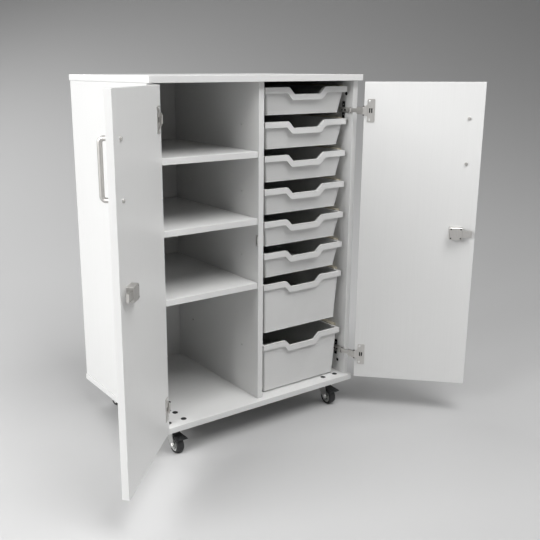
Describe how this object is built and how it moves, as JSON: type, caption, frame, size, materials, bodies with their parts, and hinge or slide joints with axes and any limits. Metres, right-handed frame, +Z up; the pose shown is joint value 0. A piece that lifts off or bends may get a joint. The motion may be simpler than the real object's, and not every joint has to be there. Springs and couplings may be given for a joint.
{
  "type": "two-door storage cabinet",
  "caption": "White mobile storage cabinet with two hinged doors, open shelves on the left, sliding plastic trays on the right and swivel castors with brakes.",
  "frame": {"origin": "on the floor, under the middle of the plan with both doors open", "axes": "+X to the right seen from the front, +Y to the back, +Z up"},
  "size_m": [1.2174, 0.7912, 1.071],
  "materials": {
    "white_board": "white melamine-faced board, satin",
    "tray_plastic": "moulded pale grey plastic, satin",
    "cream_plastic": "extruded cream plastic",
    "nickel_steel": "satin nickel plated steel",
    "zinc_steel": "bright zinc plated pressed steel",
    "dark_zinc": "blackened zinc casting",
    "hub_plastic": "pale grey moulded hub",
    "black_rubber": "black moulded rubber tread",
    "black_plastic": "black moulded pedal"
  },
  "bodies": {
    "carcass": {"top_panel": "white_board", "bottom_panel": "white_board", "left_side_panel": "white_board", "right_side_panel": "white_board", "centre_divider": "white_board", "back_panel": "white_board", "upper_shelf": "white_board", "middle_shelf": "white_board", "lower_shelf": "white_board", "shelf_pins": "nickel_steel", "cam_fittings": "dark_zinc", "strike_plates": "nickel_steel", "tray_runners": "cream_plastic", "hinge_wing_plates": "dark_zinc", "hinge_arms": "nickel_steel", "castor_plates": "zinc_steel", "castor_bolts": "dark_zinc"},
    "left_door_leaf": {"left_door": "white_board", "left_handle": "nickel_steel", "left_handle_bolts": "nickel_steel", "left_hinge_cups": "nickel_steel", "left_lock_case": "nickel_steel"},
    "left_latch": {"left_lock_bolt": "nickel_steel"},
    "left_plug": {"left_key_plug": "nickel_steel"},
    "left_links": {"left_hinge_links": "nickel_steel"},
    "right_door_leaf": {"right_door": "white_board", "right_handle": "nickel_steel", "right_handle_bolts": "nickel_steel", "right_hinge_cups": "nickel_steel", "right_lock_case": "nickel_steel"},
    "right_latch": {"right_lock_bolt": "nickel_steel"},
    "right_plug": {"right_key_plug": "nickel_steel"},
    "right_links": {"right_hinge_links": "nickel_steel"},
    "shallow_tray_1_body": {"shallow_tray_1": "tray_plastic"},
    "shallow_tray_2_body": {"shallow_tray_2": "tray_plastic"},
    "shallow_tray_3_body": {"shallow_tray_3": "tray_plastic"},
    "shallow_tray_4_body": {"shallow_tray_4": "tray_plastic"},
    "shallow_tray_5_body": {"shallow_tray_5": "tray_plastic"},
    "shallow_tray_6_body": {"shallow_tray_6": "tray_plastic"},
    "deep_tray_1_body": {"deep_tray_1": "tray_plastic"},
    "deep_tray_2_body": {"deep_tray_2": "tray_plastic"},
    "front_left_swivel": {"front_left_castor_fork": "zinc_steel", "front_left_castor_axle": "zinc_steel"},
    "front_left_roller": {"front_left_castor_wheel": "hub_plastic", "front_left_castor_tyre": "black_rubber"},
    "front_left_brake": {"front_left_castor_pedal": "black_plastic"},
    "front_right_swivel": {"front_right_castor_fork": "zinc_steel", "front_right_castor_axle": "zinc_steel"},
    "front_right_roller": {"front_right_castor_wheel": "hub_plastic", "front_right_castor_tyre": "black_rubber"},
    "front_right_brake": {"front_right_castor_pedal": "black_plastic"},
    "rear_left_swivel": {"rear_left_castor_fork": "zinc_steel", "rear_left_castor_axle": "zinc_steel"},
    "rear_left_roller": {"rear_left_castor_wheel": "hub_plastic", "rear_left_castor_tyre": "black_rubber"},
    "rear_right_swivel": {"rear_right_castor_fork": "zinc_steel", "rear_right_castor_axle": "zinc_steel"},
    "rear_right_roller": {"rear_right_castor_wheel": "hub_plastic", "rear_right_castor_tyre": "black_rubber"}
  },
  "joints": [
    {"name": "left_door_swing", "type": "hinge", "parent": "carcass", "child": "left_door_leaf", "pos_m": [-0.3593, -0.12367, 0.5765], "axis": [0, 0, -1], "range_deg": [-135, 0]},
    {"name": "left_link_swing", "type": "hinge", "parent": "carcass", "child": "left_links", "pos_m": [-0.337, -0.09587, 0.5765], "axis": [0, 0, -1], "range_deg": [-107.96, 0.5]},
    {"name": "left_latch_slide", "type": "slide", "parent": "left_door_leaf", "child": "left_latch", "axis": [-0.7071, -0.7071, 0], "range_m": [0, 0.009]},
    {"name": "left_key_turn", "type": "hinge", "parent": "left_door_leaf", "child": "left_plug", "pos_m": [-0.5679, -0.33835, 0.5985], "axis": [-0.7071, 0.7071, 0], "range_deg": [-1, 91]},
    {"name": "right_door_swing", "type": "hinge", "parent": "carcass", "child": "right_door_leaf", "pos_m": [0.3593, -0.12367, 0.5765], "axis": [0, 0, 1], "range_deg": [-135, 0]},
    {"name": "right_link_swing", "type": "hinge", "parent": "carcass", "child": "right_links", "pos_m": [0.337, -0.09587, 0.5765], "axis": [0, 0, 1], "range_deg": [-107.96, 0.5]},
    {"name": "right_latch_slide", "type": "slide", "parent": "right_door_leaf", "child": "right_latch", "axis": [0.7071, -0.7071, 0], "range_m": [0, 0.009]},
    {"name": "right_key_turn", "type": "hinge", "parent": "right_door_leaf", "child": "right_plug", "pos_m": [0.5679, -0.33835, 0.5985], "axis": [0.7071, 0.7071, 0], "range_deg": [-1, 91]},
    {"name": "shallow_tray_1_slide", "type": "slide", "parent": "carcass", "child": "shallow_tray_1_body", "axis": [0, -1, 0], "range_m": [0, 0.3]},
    {"name": "shallow_tray_2_slide", "type": "slide", "parent": "carcass", "child": "shallow_tray_2_body", "axis": [0, -1, 0], "range_m": [0, 0.3]},
    {"name": "shallow_tray_3_slide", "type": "slide", "parent": "carcass", "child": "shallow_tray_3_body", "axis": [0, -1, 0], "range_m": [0, 0.3]},
    {"name": "shallow_tray_4_slide", "type": "slide", "parent": "carcass", "child": "shallow_tray_4_body", "axis": [0, -1, 0], "range_m": [0, 0.3]},
    {"name": "shallow_tray_5_slide", "type": "slide", "parent": "carcass", "child": "shallow_tray_5_body", "axis": [0, -1, 0], "range_m": [0, 0.3]},
    {"name": "shallow_tray_6_slide", "type": "slide", "parent": "carcass", "child": "shallow_tray_6_body", "axis": [0, -1, 0], "range_m": [0, 0.3]},
    {"name": "deep_tray_1_slide", "type": "slide", "parent": "carcass", "child": "deep_tray_1_body", "axis": [0, -1, 0], "range_m": [0, 0.3]},
    {"name": "deep_tray_2_slide", "type": "slide", "parent": "carcass", "child": "deep_tray_2_body", "axis": [0, -1, 0], "range_m": [0, 0.3]},
    {"name": "front_left_swivel_turn", "type": "hinge", "parent": "carcass", "child": "front_left_swivel", "pos_m": [-0.2925, -0.05937, 0.07], "axis": [0, 0, 1], "continuous": true},
    {"name": "front_left_wheel_roll", "type": "hinge", "parent": "front_left_swivel", "child": "front_left_roller", "pos_m": [-0.2925, -0.08437, 0.025], "axis": [1, 0, 0], "continuous": true},
    {"name": "front_left_brake_press", "type": "hinge", "parent": "front_left_swivel", "child": "front_left_brake", "pos_m": [-0.2925, -0.07437, 0.057], "axis": [1, 0, 0], "range_deg": [0, 6]},
    {"name": "front_right_swivel_turn", "type": "hinge", "parent": "carcass", "child": "front_right_swivel", "pos_m": [0.2925, -0.05937, 0.07], "axis": [0, 0, 1], "continuous": true},
    {"name": "front_right_wheel_roll", "type": "hinge", "parent": "front_right_swivel", "child": "front_right_roller", "pos_m": [0.2925, -0.08437, 0.025], "axis": [1, 0, 0], "continuous": true},
    {"name": "front_right_brake_press", "type": "hinge", "parent": "front_right_swivel", "child": "front_right_brake", "pos_m": [0.2925, -0.07437, 0.057], "axis": [1, 0, 0], "range_deg": [0, 6]},
    {"name": "rear_left_swivel_turn", "type": "hinge", "parent": "carcass", "child": "rear_left_swivel", "pos_m": [-0.2925, 0.33663, 0.07], "axis": [0, 0, 1], "continuous": true},
    {"name": "rear_left_wheel_roll", "type": "hinge", "parent": "rear_left_swivel", "child": "rear_left_roller", "pos_m": [-0.2925, 0.31163, 0.025], "axis": [1, 0, 0], "continuous": true},
    {"name": "rear_right_swivel_turn", "type": "hinge", "parent": "carcass", "child": "rear_right_swivel", "pos_m": [0.2925, 0.33663, 0.07], "axis": [0, 0, 1], "continuous": true},
    {"name": "rear_right_wheel_roll", "type": "hinge", "parent": "rear_right_swivel", "child": "rear_right_roller", "pos_m": [0.2925, 0.31163, 0.025], "axis": [1, 0, 0], "continuous": true}
  ],
  "couplings": [
    {"joint": "left_link_swing", "follows": "left_door_swing", "ratio": 0.79602},
    {"joint": "left_key_turn", "follows": "left_latch_slide", "rad_per_m": 174.53},
    {"joint": "right_link_swing", "follows": "right_door_swing", "ratio": 0.79602},
    {"joint": "right_key_turn", "follows": "right_latch_slide", "rad_per_m": 174.53}
  ]
}
